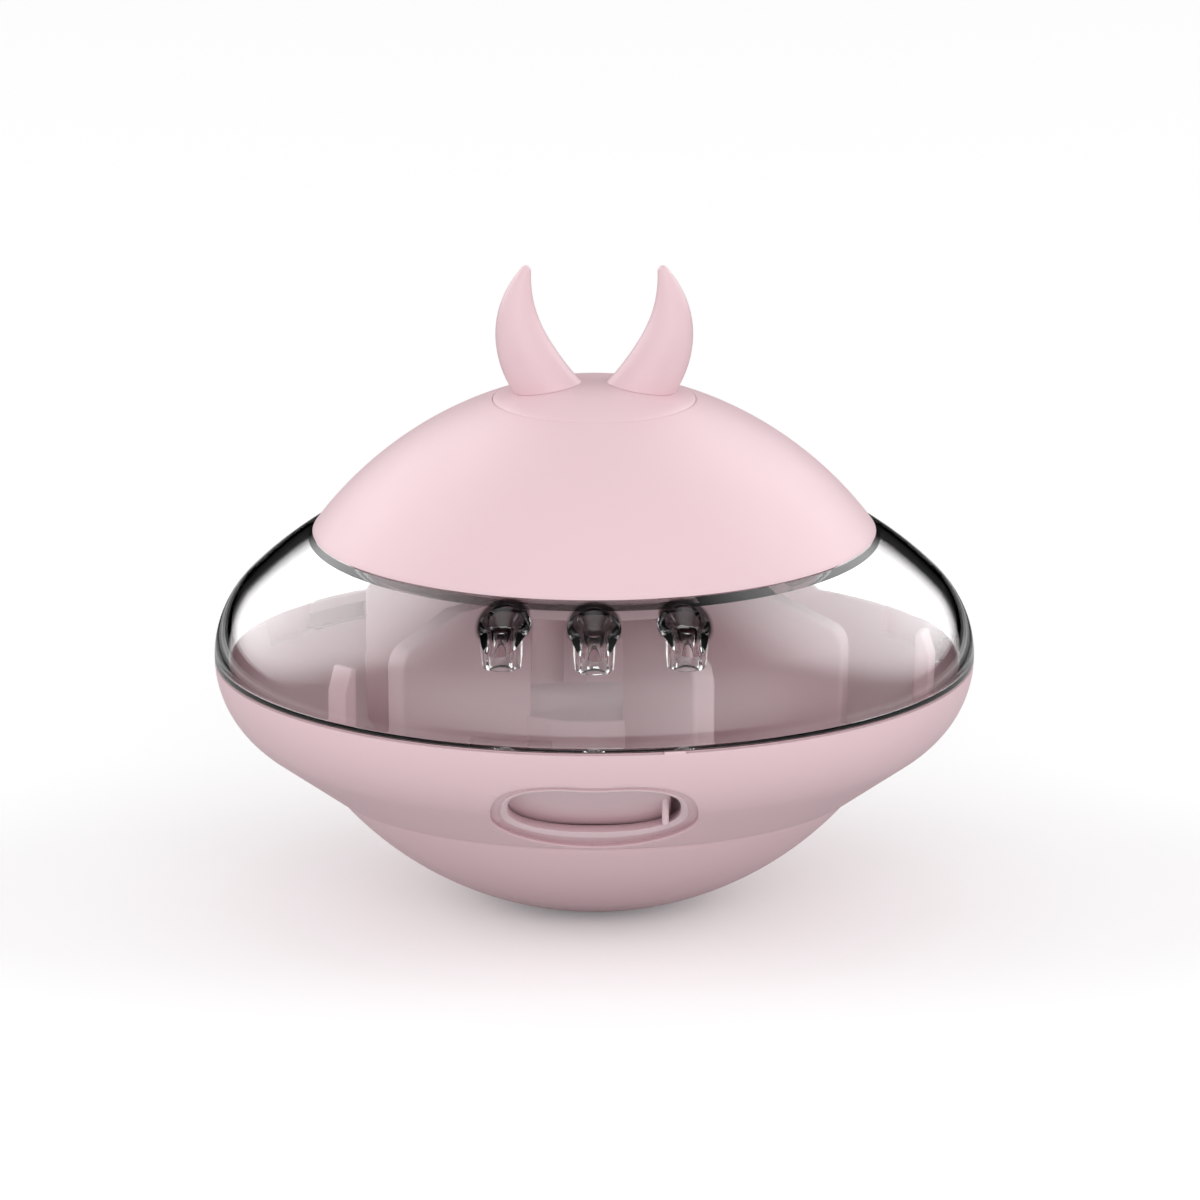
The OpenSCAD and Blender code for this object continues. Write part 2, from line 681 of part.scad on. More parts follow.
module lid_collar() {
    half_lug = lid_lug_turn / 2;
    low_z = shoulder_z - collar_h;
    color(pink) difference() {
        union() {
            rotate_extrude() polygon([[collar_in_r, low_z], [collar_r, low_z], [collar_r, collar_flange_z],
                                      [collar_flange_r, collar_flange_z], [collar_flange_r, collar_boss_z],
                                      [collar_in_r, collar_boss_z]]);
            for (a = third_turns) sector(a - half_lug, a + half_lug)
                translate([collar_r - collar_wall / 2, lid_lug_z])
                    square([lid_lug + collar_wall / 2 - run_gap, lid_lug_h]);
        }
        for (a = collar_screw_bearings) at_bearing(a) translate([collar_screw_circle, 0, collar_flange_z]) {
            translate([0, 0, -past]) cylinder(r = small_head_r + run_gap, h = small_head_h + past);
            cylinder(r = small_screw_r + run_gap, h = collar_flange_t + past);
        }
    }
}

module collar_screws() {
    tip_z = collar_pilot_z - collar_tip_gap;
    color(steel) for (a = collar_screw_bearings)
        at_bearing(a) translate([collar_screw_circle, 0, collar_flange_z])
            screw(small_screw_r, small_head_r, small_head_h, tip_z - collar_flange_z - small_head_h);
}

module lid_seal() {
    color([0.92, 0.92, 0.92]) rotate_extrude()
        translate([collar_r + fit_gap, lid_z]) square([seal_w, seal_t]);
}

module horn_cap() {
    spigot_low_z = retainer_z + 2 * fit_gap;
    color(pink) difference() {
        union() {
            rotate_extrude() intersection() {
                dome_solid_profile(0);
                translate([0, cap_seat_z]) square([cap_r, dome_top_r]);
            }
            translate([0, 0, spigot_low_z])
                cylinder(r = cap_spigot_r, h = cap_seat_z + cap_edge / 2 - spigot_low_z);
        }
        for (side = [-1, 1]) {
            translate([side * horn_root_x, 0, spigot_low_z - past]) {
                cylinder(r = plug_r + fit_gap, h = apex_z);
                cylinder(r = plug_foot_r + fit_gap, h = plug_foot_h + 2 * fit_gap + past);
            }
            translate([0, side * cap_screw_y, spigot_low_z - past])
                cylinder(r = small_screw_r + fit_gap, h = cap_pilot + past);
        }
    }
}

module cap_retainer() {
    color(pink_deep) translate([0, 0, retainer_z - retainer_t]) difference() {
        cylinder(r = retainer_r, h = retainer_t);
        for (side = [-1, 1]) translate([0, side * cap_screw_y, -past])
            cylinder(r = small_screw_r + run_gap, h = retainer_t + 2 * past);
    }
}

module cap_screws() {
    color(steel) for (side = [-1, 1])
        translate([0, side * cap_screw_y, retainer_z - retainer_t - small_head_h])
            screw(small_screw_r, small_head_r, small_head_h, retainer_t + cap_screw_grip);
}

// A horn's middle line is a curve bowed by one point, and its diameter falls from root to tip
function horn_middle(t) = pow(1 - t, 2) * [horn_root_x, apex_z]
    + 2 * t * (1 - t) * [horn_bow_x, apex_z + horn_bow_h]
    + t * t * [horn_tip_x, apex_z + horn_h - horn_tip_d / 2];
function horn_heading(t) = let (d = horn_middle(t + 0.01) - horn_middle(t - 0.01)) d / norm(d);
function horn_ring(t, r) = let (m = horn_middle(t), h = horn_heading(t))
    [for (k = [0:horn_sides - 1]) let (a = 360 * k / horn_sides)
        [m[0] + r * cos(a) * h[1], r * sin(a), m[1] - r * cos(a) * h[0]]];
function horn_r(t) = (horn_root_d + (horn_tip_d - horn_root_d) * pow(max(t, 0), horn_taper)) / 2;

module horn_body() {
    steps = [for (i = [0:horn_rings]) horn_start + (1 - horn_start) * i / horn_rings];
    rows = [for (t = steps) horn_ring(t, horn_r(t))];
    tip = horn_middle(1) + horn_tip_d / 2 * horn_heading(1);
    points = concat([for (row = rows) for (p = row) p], [[tip[0], 0, tip[1]]]);
    last = len(points) - 1;
    walls = [for (i = [0:horn_rings - 1]) for (k = [0:horn_sides - 1])
        let (a = i * horn_sides + k, b = i * horn_sides + (k + 1) % horn_sides)
        each [[a, a + horn_sides, b], [b, a + horn_sides, b + horn_sides]]];
    top = [for (k = [0:horn_sides - 1]) [horn_rings * horn_sides + k, last,
                                         horn_rings * horn_sides + (k + 1) % horn_sides]];
    bottom = [[for (k = [0:horn_sides - 1]) k]];
    polyhedron(points, concat(walls, top, bottom));
}

// The right-hand horn with the plug that holds it in the cap
module horn() {
    foot_z = retainer_z + 3 * fit_gap;
    difference() {
        horn_body();
        rotate_extrude() dome_solid_profile(-fit_gap);
    }
    translate([horn_root_x, 0, foot_z]) {
        cylinder(r = plug_r, h = apex_z + plug_r / 2 - foot_z);
        cylinder(r = plug_foot_r, h = plug_foot_h);
    }
}

module horn_right() {
    color(pink) horn();
}

module horn_left() {
    color(pink) mirror([1, 0, 0]) horn();
}

base_cap();
counterweight();
weight_washer();
weight_screw();
base_screws();
base_plugs();
bowl();
outlet_bezel();
gate_guide();
outlet_gate();
baffle();
baffle_screw();
clear_cover();
lid_dome();
lid_collar();
collar_screws();
lid_seal();
horn_cap();
cap_retainer();
cap_screws();
horn_left();
horn_right();
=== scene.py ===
import math

import bmesh
import bpy
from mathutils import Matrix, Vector


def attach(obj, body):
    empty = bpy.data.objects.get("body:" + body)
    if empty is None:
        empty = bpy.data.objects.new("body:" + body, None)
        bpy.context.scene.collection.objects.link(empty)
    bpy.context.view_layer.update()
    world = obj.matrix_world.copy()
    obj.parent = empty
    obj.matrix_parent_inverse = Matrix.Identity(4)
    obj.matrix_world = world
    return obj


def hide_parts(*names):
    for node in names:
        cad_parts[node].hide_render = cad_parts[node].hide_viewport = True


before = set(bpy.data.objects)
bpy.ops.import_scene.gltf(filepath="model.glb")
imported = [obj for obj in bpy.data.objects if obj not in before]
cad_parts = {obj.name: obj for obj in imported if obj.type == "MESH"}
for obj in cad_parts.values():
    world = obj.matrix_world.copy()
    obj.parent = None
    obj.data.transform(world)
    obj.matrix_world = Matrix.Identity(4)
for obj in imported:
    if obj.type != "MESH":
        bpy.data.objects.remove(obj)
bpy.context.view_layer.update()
mm = 0.001                                             # every piece below is drawn in millimetres
mergeWithin = 0.002 * mm                               # points closer than this are one
print("frame loaded:", len(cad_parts), "nodes")


# Lines that the turned pieces share

def arcLine(middle, radius, start, end, steps):
    turns = [math.radians(start + (end - start) * i / steps) for i in range(steps + 1)]
    return [(middle[0] + radius * math.cos(a), middle[1] + radius * math.sin(a)) for a in turns]


def onBearing(bearing, radius, height):                # bearing 0 is the outlet, 90 is +X
    a = math.radians(bearing)
    return Vector((radius * math.sin(a), -radius * math.cos(a), height))


bodyLine = {"side": (44.0, 40.0), "sideR": 16.0, "parting": 39.5, "seam": 19.3, "bowlTurn": 55.0,
            "coverTurn": 45.0, "coverR": 60.0, "lidR": 44.5}
thirds = (0, 120, 240)                                 # bearings of what stands three times round


def bowlRadius(depth, height):                         # the bowl's side at a depth below its outer face
    radius = bodyLine["sideR"] - depth
    turn = math.radians(bodyLine["bowlTurn"])
    bendX = bodyLine["side"][0] + radius * math.cos(turn)
    bendZ = bodyLine["side"][1] - radius * math.sin(turn)
    if height < bendZ:
        return bendX - (bendZ - height) * math.tan(turn)
    return bodyLine["side"][0] + math.sqrt(radius ** 2 - (bodyLine["side"][1] - height) ** 2)


def bowlLine(depth, high, low, steps=28):
    heights = [high + (low - high) * i / steps for i in range(steps + 1)]
    return [(bowlRadius(depth, z), z) for z in heights]


# Tools of the bench

def pick(piece):
    bpy.ops.object.select_all(action="DESELECT")
    bpy.context.view_layer.objects.active = piece
    piece.select_set(True)


def named(name):                                       # the primitive that was just added
    piece = bpy.context.object
    piece.name = piece.data.name = name
    return piece


def closeSkin():                                       # in edit mode: doubles first, then normals
    bpy.ops.mesh.select_all(action="SELECT")
    bpy.ops.mesh.remove_doubles(threshold=mergeWithin)
    bpy.ops.mesh.normals_make_consistent(inside=False)


def turnPiece(name, line, steps=160, start=0.0, sweep=360.0, axis=(0.0, 0.0)):
    bpy.ops.object.select_all(action="DESELECT")
    bpy.ops.mesh.primitive_plane_add(size=mm)
    piece = named(name)
    a = math.radians(start)
    out = Vector((math.sin(a), -math.cos(a), 0))
    foot = Vector((axis[0], axis[1], 0)) * mm
    points = [foot + out * (r * mm) + Vector((0, 0, z * mm)) for r, z in line]
    bpy.ops.object.mode_set(mode="EDIT")
    bpy.ops.mesh.select_mode(type="VERT")
    bpy.ops.mesh.select_all(action="SELECT")
    bpy.ops.mesh.merge(type="CENTER")
    bpy.ops.transform.translate(value=points[0])
    for here, there in zip(points, points[1:]):
        bpy.ops.mesh.extrude_vertices_move(TRANSFORM_OT_translate={"value": there - here})
    bpy.ops.mesh.select_all(action="SELECT")
    bpy.ops.mesh.spin(steps=steps, angle=-math.radians(sweep), center=foot, axis=(0, 0, 1))
    if sweep < 360:                                    # the two ends are closed by a face each
        closeSkin()
        bpy.ops.mesh.select_all(action="DESELECT")
        bpy.ops.mesh.select_mode(type="EDGE")
        bpy.ops.mesh.select_non_manifold(extend=False)
        bpy.ops.mesh.edge_face_add()
    closeSkin()
    bpy.ops.object.mode_set(mode="OBJECT")
    return piece


def arcBlock(name, inR, outR, low, high, steps, start, sweep):   # a block bent round the toy's axis
    line = [(inR, low), (outR, low), (outR, high), (inR, high), (inR, low)]
    return turnPiece(name, line, steps, start, sweep)


def ringPiece(name, rings, looped=False):              # a circle that is extruded from ring to ring
    bpy.ops.object.select_all(action="DESELECT")
    bpy.ops.mesh.primitive_circle_add(vertices=len(rings[0]), radius=mm)
    piece = named(name)
    for vertex, point in zip(piece.data.vertices, rings[0]):
        vertex.co = Vector(point) * mm
    bpy.ops.object.mode_set(mode="EDIT")
    bpy.ops.mesh.select_mode(type="EDGE")
    bpy.ops.mesh.select_all(action="SELECT")
    if not looped:
        bpy.ops.mesh.edge_face_add()
        bpy.ops.mesh.select_all(action="SELECT")
    for here, there in zip(rings, rings[1:]):
        if looped:
            bpy.ops.mesh.extrude_edges_move()
        else:
            bpy.ops.mesh.extrude_region_move()
        skin = bmesh.from_edit_mesh(piece.data)
        fresh = [v for v in skin.verts if v.select]
        places = [(Vector(p) * mm, Vector(q) * mm) for p, q in zip(here, there)]
        for vertex in fresh:
            vertex.co = min(places, key=lambda pair: (pair[0] - vertex.co).length_squared)[1]
        bmesh.update_edit_mesh(piece.data)
    closeSkin()
    bpy.ops.object.mode_set(mode="OBJECT")
    return piece


def blockPiece(name, low, high):                       # a cube that fills a box
    bpy.ops.object.select_all(action="DESELECT")
    size = [b - a for a, b in zip(low, high)]
    middle = [(a + b) / 2 * mm for a, b in zip(low, high)]
    bpy.ops.mesh.primitive_cube_add(size=1, location=middle, scale=[s * mm for s in size])
    piece = named(name)
    bpy.ops.object.transform_apply(location=True, rotation=True, scale=True)
    return piece


def cutOff(piece, place, normal):                      # takes off what lies beyond a plane
    pick(piece)
    bpy.ops.object.mode_set(mode="EDIT")
    bpy.ops.mesh.select_all(action="SELECT")
    bpy.ops.mesh.bisect(plane_co=Vector(place) * mm, plane_no=Vector(normal).normalized(),
                        use_fill=True, clear_outer=True)
    closeSkin()
    bpy.ops.object.mode_set(mode="OBJECT")


def swing(piece, bearing):                             # from +X round to a bearing
    pick(piece)
    bpy.ops.object.mode_set(mode="EDIT")
    bpy.ops.mesh.select_all(action="SELECT")
    bpy.ops.transform.rotate(value=-math.radians(bearing - 90), orient_axis="Z", center_override=(0, 0, 0))
    bpy.ops.object.mode_set(mode="OBJECT")


def carve(piece, tool, how="DIFFERENCE"):
    pick(piece)
    change = piece.modifiers.new("carve", "BOOLEAN")
    change.operation, change.solver, change.object = how, "EXACT", tool
    bpy.ops.object.modifier_apply(modifier=change.name)
    bpy.data.objects.remove(tool)


def roundEdges(piece, width, segments=3, degrees=35):
    pick(piece)
    change = piece.modifiers.new("round", "BEVEL")
    change.width, change.segments = width * mm, segments
    change.limit_method, change.angle_limit = "ANGLE", math.radians(degrees)
    bpy.ops.object.modifier_apply(modifier=change.name)


def smoothSkin(piece, degrees=32):
    pick(piece)
    bpy.ops.object.shade_smooth_by_angle(angle=math.radians(degrees))


def addTogether(piece, *others):
    pick(piece)
    for other in others:
        other.select_set(True)
    bpy.ops.object.join()


def fit(piece, material, body, slot, *nodes):
    piece.data.materials.clear()
    piece.data.materials.append(material)
    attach(piece, body)
    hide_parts(*nodes)


# Materials

class Wire:                                            # one output of a node, used like a number
    def __init__(self, recipe, socket):
        self.recipe, self.socket = recipe, socket

    def sum(self, operation, first, second):
        return self.recipe.node("ShaderNodeMath", {"operation": operation}, {0: first, 1: second})

    def __add__(self, other):
        return self.sum("ADD", self, other)

    def __radd__(self, other):
        return self.sum("ADD", other, self)

    def __sub__(self, other):
        return self.sum("SUBTRACT", self, other)

    def __rsub__(self, other):
        return self.sum("SUBTRACT", other, self)

    def __mul__(self, other):
        return self.sum("MULTIPLY", self, other)

    def __rmul__(self, other):
        return self.sum("MULTIPLY", other, self)

    def __gt__(self, other):
        return self.sum("GREATER_THAN", self, other)


class Recipe:
    def __init__(self, name):
        self.material = bpy.data.materials.new(name)
        self.material.use_nodes = True
        self.tree = self.material.node_tree
        self.shader = self.tree.nodes["Principled BSDF"]
        self.place = self.node("ShaderNodeTexCoord", output="Object")

    def node(self, kind, settings=None, inputs=None, output=0):
        made = self.tree.nodes.new(kind)
        for key, value in (settings or {}).items():
            setattr(made, key, value)
        self.feed(made, inputs or {})
        return Wire(self, made.outputs[output])

    def feed(self, made, inputs):
        for key, value in inputs.items():
            if isinstance(value, Wire):
                self.tree.links.new(value.socket, made.inputs[key])
            else:
                made.inputs[key].default_value = value

    def noise(self, scale, detail=2.0, rough=0.5):
        return self.node("ShaderNodeTexNoise", {"noise_dimensions": "3D"},
                         {"Vector": self.place, "Scale": scale, "Detail": detail, "Roughness": rough})

    def blend(self, share, first, second):
        return self.node("ShaderNodeMix", {"data_type": "RGBA"},
                         {0: share, 6: first, 7: second}, output=2)

    def bump(self, height, strength, distance):
        return self.node("ShaderNodeBump", None,
                         {"Height": height, "Strength": strength, "Distance": distance})


def colour(red, green, blue):                          # screen colour to scene light
    def straight(c):
        c = c / 255
        return c / 12.92 if c <= 0.04045 else ((c + 0.055) / 1.055) ** 2.4
    return (straight(red), straight(green), straight(blue), 1.0)


moulding = {"cloud": 26, "flow": 140, "grain": 5200, "speck": 900, "speckFrom": 0.74, "cloudShare": 0.5,
            "flowShare": 0.16, "speckShare": 0.10, "glossSpread": 0.10, "bump": 0.10, "deep": 0.02 * mm,
            "specular": 0.45}


def mouldedPink(name, base, deep, gloss):              # satin moulded plastic
    r = Recipe(name)
    cloud = r.noise(moulding["cloud"], 3, 0.55)        # slow change of shade over the moulding
    flow = r.noise(moulding["flow"], 2)
    grain = r.noise(moulding["grain"], 2, 0.6)         # spark-eroded mould face
    speck = r.noise(moulding["speck"], 1) > moulding["speckFrom"]
    shade = r.blend(cloud * moulding["cloudShare"] + flow * moulding["flowShare"], base, deep)
    shade = r.blend(speck * moulding["speckShare"], shade, deep)
    spread = moulding["glossSpread"]
    r.feed(r.shader, {"Base Color": shade,
                      "Roughness": gloss + (flow - 0.5) * spread + (grain - 0.5) * spread,
                      "Normal": r.bump(grain, moulding["bump"], moulding["deep"]),
                      "Specular IOR Level": moulding["specular"]})
    return r.material


tubes = {"bearings": (-17, 0, 17), "circle": 48.6, "headIn": 3.9, "headOut": 4.5, "headLow": 54.2,
         "headHigh": 55.0, "flareR": 4.9, "trimLow": 2, "trimTop": 1}
smoke = {"haze": 60, "hazeGloss": 0.015, "scratch": 1400, "scratchFrom": 0.70, "scratchGloss": 0.02}


def paintedDarkHeads(r):                                      # the tubes' heads, tinted near black as painted shade
    height = r.node("ShaderNodeSeparateXYZ", None, {0: r.place}, output=2)
    flat = r.node("ShaderNodeVectorMath", {"operation": "MULTIPLY"}, {0: r.place, 1: (1, 1, 0)})
    inHead = 0.0
    for bearing in tubes["bearings"]:
        off = r.node("ShaderNodeVectorMath", {"operation": "DISTANCE"},
                     {0: flat, 1: onBearing(bearing, tubes["circle"], 0) * mm}, output=1)
        inHead = inHead + r.node("ShaderNodeMapRange", None, {
            "Value": off, "From Min": tubes["headIn"] * mm, "From Max": tubes["headOut"] * mm,
            "To Min": 1.0, "To Max": 0.0})
    return inHead * r.node("ShaderNodeMapRange", None, {
        "Value": height, "From Min": tubes["headLow"] * mm, "From Max": tubes["headHigh"] * mm})


def smokyClear(name, tint, shadowTint, gloss, bend, paintedDarkTint=None):
    r = Recipe(name)
    haze = r.noise(smoke["haze"], 3)
    scratch = r.noise(smoke["scratch"], 3, 0.7) > smoke["scratchFrom"]
    # painted shade: the tubes' heads get a near-black tint
    shade = r.blend(paintedDarkHeads(r), tint, paintedDarkTint) if paintedDarkTint else tint
    r.feed(r.shader, {"Base Color": shade, "Transmission Weight": 1.0, "IOR": bend,
                      "Roughness": gloss + haze * smoke["hazeGloss"] + scratch * smoke["scratchGloss"]})
    clear = r.node("ShaderNodeBsdfTransparent", None, {"Color": shadowTint})
    lamp = r.node("ShaderNodeLightPath", output="Is Shadow Ray")
    mixed = r.node("ShaderNodeMixShader", None, {0: lamp, 1: Wire(r, r.shader.outputs[0]), 2: clear})
    r.feed(r.tree.nodes["Material Output"], {"Surface": mixed})
    return r.material


metal = {"cloud": 300, "mark": 2600, "cloudShare": 0.5, "markShare": 0.2, "glossSpread": 0.15, "bump": 0.15,
         "deep": 0.02 * mm}


def metalSkin(name, base, dark, gloss):
    r = Recipe(name)
    cloud = r.noise(metal["cloud"], 3)
    mark = r.noise(metal["mark"], 2, 0.6)
    shade = r.blend(cloud * metal["cloudShare"] + mark * metal["markShare"], base, dark)
    r.feed(r.shader, {"Base Color": shade, "Metallic": 1.0,
                      "Roughness": gloss + (mark - 0.5) * metal["glossSpread"],
                      "Normal": r.bump(mark, metal["bump"], metal["deep"])})
    return r.material


rubber = {"cloud": 120, "grain": 3800, "cloudShare": 0.5, "glossSpread": 0.2, "bump": 0.2,
          "deep": 0.02 * mm}


def rubberSkin(name, base, deep, gloss):
    r = Recipe(name)
    cloud = r.noise(rubber["cloud"], 2)
    grain = r.noise(rubber["grain"], 2)
    r.feed(r.shader, {"Base Color": r.blend(cloud * rubber["cloudShare"], base, deep),
                      "Roughness": gloss + (grain - 0.5) * rubber["glossSpread"],
                      "Normal": r.bump(grain, rubber["bump"], rubber["deep"])})
    return r.material


shades = {"pink": colour(236, 206, 212), "pinkLow": colour(231, 200, 206),
          # the inner pieces take a greyer copy of the shell pink: painted light, offsetting the stronger
          # pink of the bounce light inside the bowl
          "inner": colour(234, 210, 215), "innerLow": colour(228, 203, 208),
          "clear": (0.975, 0.975, 0.972, 1.0), "clearShadow": (0.95, 0.95, 0.95, 1.0),
          # near-black tint painted on the tube heads as their shade
          "clearPaintedDark": (0.03, 0.028, 0.028, 1.0),
          "steel": (0.62, 0.62, 0.64, 1.0), "steelLow": (0.42, 0.42, 0.44, 1.0),
          "iron": (0.11, 0.11, 0.12, 1.0), "ironLow": (0.05, 0.05, 0.06, 1.0),
          "seal": (0.82, 0.80, 0.80, 1.0), "sealLow": (0.70, 0.67, 0.67, 1.0)}
rough = {"pink": 0.42, "inner": 0.46, "clear": 0.01, "steel": 0.32, "iron": 0.6, "seal": 0.62}
bends = {"band": 1.5, "tongue": 1.02}                  # how much the clear pieces bend light

shellPink = mouldedPink("shellPink", shades["pink"], shades["pinkLow"], rough["pink"])
innerPink = mouldedPink("innerPink", shades["inner"], shades["innerLow"], rough["inner"])
clearBand = smokyClear("clearBand", shades["clear"], shades["clearShadow"], rough["clear"], bends["band"],
                       shades["clearPaintedDark"])
clearTongue = smokyClear("clearTongue", shades["clear"], shades["clearShadow"], rough["clear"],
                         bends["tongue"])
screwSteel = metalSkin("screwSteel", shades["steel"], shades["steelLow"], rough["steel"])
weightIron = metalSkin("weightIron", shades["iron"], shades["ironLow"], rough["iron"])
sealRubber = rubberSkin("sealRubber", shades["seal"], shades["sealLow"], rough["seal"])
print("materials made")


# Camera at the photograph's place, light and floor

shot = {"target": (0.0009, 0.0, 0.0486), "up": 14.5, "distance": 3.0, "width": 0.1895, "sensor": 36.0,
        "nearest": 0.05, "farthest": 60}
eye = bpy.data.cameras.new("eye")
eye.sensor_width = shot["sensor"]
eye.lens = shot["sensor"] * shot["distance"] / shot["width"]
eye.clip_start, eye.clip_end = shot["nearest"], shot["farthest"]
eyeObject = bpy.data.objects.new("eye", eye)
bpy.context.scene.collection.objects.link(eyeObject)
back = Vector((0, -math.cos(math.radians(shot["up"])), math.sin(math.radians(shot["up"]))))
eyeObject.location = Vector(shot["target"]) + back * shot["distance"]
eyeObject.rotation_euler = (-back).to_track_quat("-Z", "Y").to_euler()
bpy.context.scene.camera = eyeObject

lamps = {"leftBox": ((-1.80, 0.0, 0.85), 1.3, 1.3, 9),   # place, width, depth and power
         "rightBox": ((1.80, 0.0, 0.85), 1.3, 1.3, 9),
         "frontBox": ((0.10, -1.85, 0.70), 1.6, 0.9, 12)}
lampAim = Vector((0, 0, 0.05))
for name, (place, width, depth, power) in lamps.items():
    lamp = bpy.data.lights.new(name, "AREA")
    lamp.shape, lamp.size, lamp.size_y, lamp.energy = "RECTANGLE", width, depth, power
    holder = bpy.data.objects.new(name, lamp)
    bpy.context.scene.collection.objects.link(holder)
    holder.location = place
    holder.rotation_euler = (lampAim - Vector(place)).to_track_quat("-Z", "Y").to_euler()
    holder.visible_glossy = holder.visible_transmission = False   # the clear band doesn't show the lamps

room = {"soft": 0.62, "mirrored": 0.02, "through": 1.6,   # the sky's strength by how light came there
        "floor": 1.0, "bounce": 0.64, "lift": 0.12, "behindClear": 0.6,   # the floor's, likewise
        "nearFloor": 0.19, "farFloor": 0.25, "lastFloor": 0.36, "fade": 0.02,   # rings that mirrors show
        "nearShade": 0.55, "farShade": 0.45, "size": 30, "cloud": 3}
glows = [((-0.64, 0.55, 0.50), 0.76, 0.98, 3.0),       # soft lights that show in the clear band:
         ((0.64, 0.55, 0.53), 0.76, 0.98, 3.0),        # where, edge, core and power
         ((0.06, -0.88, 0.47), 0.35, 0.98, 1.5)]


class RoomNodes(Recipe):                               # a recipe for the world's own nodes
    def __init__(self, tree):
        self.tree = tree


def rayKind(recipe):                                   # how light came here: soft bounces, or mirrored only
    soft = recipe.node("ShaderNodeLightPath", output="Diffuse Depth") > 0.5
    mirrored = (recipe.node("ShaderNodeLightPath", output="Glossy Depth") > 0.5) * (1 - soft)
    return soft, mirrored


sky = bpy.data.worlds.new("studio")
sky.use_nodes = True
skyRecipe = RoomNodes(sky.node_tree)
soft, mirrored = rayKind(skyRecipe)
heading = skyRecipe.node("ShaderNodeTexCoord", output="Generated")
shine = room["mirrored"]
for toward, edge, core, power in glows:
    facing = skyRecipe.node("ShaderNodeVectorMath", {"operation": "DOT_PRODUCT"},
                            {0: heading, 1: Vector(toward).normalized()}, output=1)
    shine = shine + skyRecipe.node("ShaderNodeMapRange", {"interpolation_type": "SMOOTHSTEP"},
                                   {"Value": facing, "From Min": edge, "From Max": core, "To Max": power})
strength = soft * room["soft"] + mirrored * shine + (1 - soft) * (1 - mirrored) * room["through"]
skyRecipe.feed(sky.node_tree.nodes["Background"], {"Color": (1, 1, 1, 1), "Strength": strength})
bpy.context.scene.world = sky
bpy.context.scene.view_settings.view_transform = "Standard"

bpy.ops.object.select_all(action="DESELECT")
bpy.ops.mesh.primitive_plane_add(size=room["size"])
floor = named("floor")
floorRecipe = Recipe("paleFloor")
away = floorRecipe.node("ShaderNodeVectorMath", {"operation": "LENGTH"}, {0: floorRecipe.place}, output=1)


def fade(start, first, last):
    return floorRecipe.node("ShaderNodeMapRange", None, {"Value": away, "From Min": start, "To Min": first,
                                                         "From Max": start + room["fade"], "To Max": last})


# painted shade: the floor is dimmer to soft bounce light, and dark in rings that only mirrored rays see
dimmed = fade(room["nearFloor"], room["nearShade"], 0.0) + fade(room["farFloor"], 0.0, room["farShade"])
dimmed = dimmed - fade(room["lastFloor"], 0.0, room["farShade"])
soft, mirrored = rayKind(floorRecipe)
shade = soft * room["bounce"] + mirrored * dimmed + (1 - soft) * (1 - mirrored) * room["floor"]
# painted light: the floor glows a little to rays that come from the camera or through the clear band, more
# to the latter
behind = floorRecipe.node("ShaderNodeLightPath", output="Transmission Depth") > 0.5
lift = behind * room["behindClear"] + room["lift"]
pale = floorRecipe.blend(floorRecipe.noise(room["cloud"], 2), (1.0, 1.0, 1.0, 1), (0.99, 0.99, 0.99, 1))
floorRecipe.feed(floorRecipe.shader, {
    "Base Color": floorRecipe.blend(shade, (0, 0, 0, 1), pale), "Roughness": 1.0, "Specular IOR Level": 0.0,
    "Emission Color": floorRecipe.blend((1 - soft) * (1 - mirrored) * lift, (0, 0, 0, 1), (1, 1, 1, 1)),
    "Emission Strength": 1.0})
floor.data.materials.append(floorRecipe.material)
print("camera, light and floor set")


# Base: the round weighted foot

base = {"radius": 54.0, "flat": 7.0, "wall": 2.6, "rimGap": 0.12, "edge": 0.3, "screwCircle": 24.0,
        "screwBearings": (60, 180, 300), "plugHole": 3.2, "plugLow": -2, "plugTop": 6.95}
baseMiddle = (0.0, math.sqrt(base["radius"] ** 2 - base["flat"] ** 2))
lowTurn = -math.degrees(math.acos(base["flat"] / base["radius"]))
rimZ = bodyLine["seam"] - base["rimGap"]               # a fine line shows between base and bowl
rimTurn = -math.degrees(math.asin((baseMiddle[1] - rimZ) / base["radius"]))
insideR = base["radius"] - base["wall"]
insideTurn = -math.degrees(math.asin((baseMiddle[1] - rimZ) / insideR))
baseFoot = turnPiece("baseFoot", [(0, 0)] + arcLine(baseMiddle, base["radius"], lowTurn, rimTurn, 26)
                     + arcLine(baseMiddle, insideR, insideTurn, -90, 12))
roundEdges(baseFoot, base["edge"], segments=2)
plugLine = [(0, base["plugLow"]), (base["plugHole"], base["plugLow"]), (base["plugHole"], base["plugTop"]),
            (0, base["plugTop"])]
for bearing in base["screwBearings"]:
    spot = onBearing(bearing, base["screwCircle"], 0)
    carve(baseFoot, turnPiece("plugHole", plugLine, steps=48, axis=(spot.x, spot.y)))
smoothSkin(baseFoot)
fit(baseFoot, shellPink, "bowl_group", "pink_base", "base_cap")
print("base made")


# Bowl with the recess round the outlet

